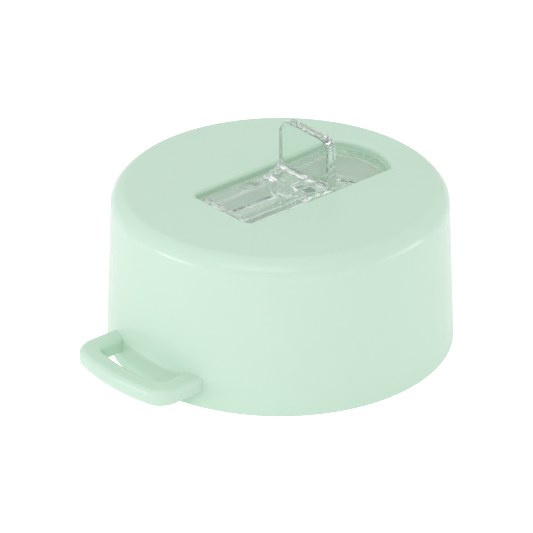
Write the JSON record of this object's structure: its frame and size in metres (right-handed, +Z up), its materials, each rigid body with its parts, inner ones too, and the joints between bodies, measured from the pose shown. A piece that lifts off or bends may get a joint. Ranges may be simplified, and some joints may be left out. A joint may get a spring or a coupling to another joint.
{
  "type": "drinking bottle lid",
  "caption": "Round screw lid for a wide-mouth drinking bottle with a clear flip-up spout folded flat in a slot, a thumb tab, a finger pocket and a strap loop.",
  "frame": {"origin": "on the lid's axis, at the mouth of the neck socket, in the plane of the bottom rim that the lid rests on", "axes": "+Z up along the lid's axis, -X towards the strap loop and the stowed mouthpiece, +X towards the finger pocket, +Y across the slot along the spout's pivot axis"},
  "size_m": [0.0998, 0.088, 0.054],
  "materials": {
    "mint_shell": "fine satin moulded polypropylene, pale mint",
    "mint_liner": "satin moulded polypropylene, pale mint",
    "clear_tray": "polished clear copolyester",
    "clear_spout": "polished clear copolyester",
    "silicone_seal": "soft translucent silicone",
    "silicone_white": "soft white silicone"
  },
  "bodies": {
    "lid": {"outer_shell": "mint_shell", "inner_cap": "mint_liner", "spout_tray": "clear_tray", "port_seal": "silicone_seal", "spigot_gasket": "silicone_seal", "straw_collar": "silicone_seal", "neck_gasket": "silicone_white", "vent_valve": "silicone_seal"},
    "spout": {"flip_spout": "clear_spout"}
  },
  "joints": [
    {"name": "spout_hinge", "type": "hinge", "parent": "lid", "child": "spout", "pos_m": [0.008, 0, 0.0356], "axis": [0, 1, 0], "range_deg": [0, 90]}
  ]
}
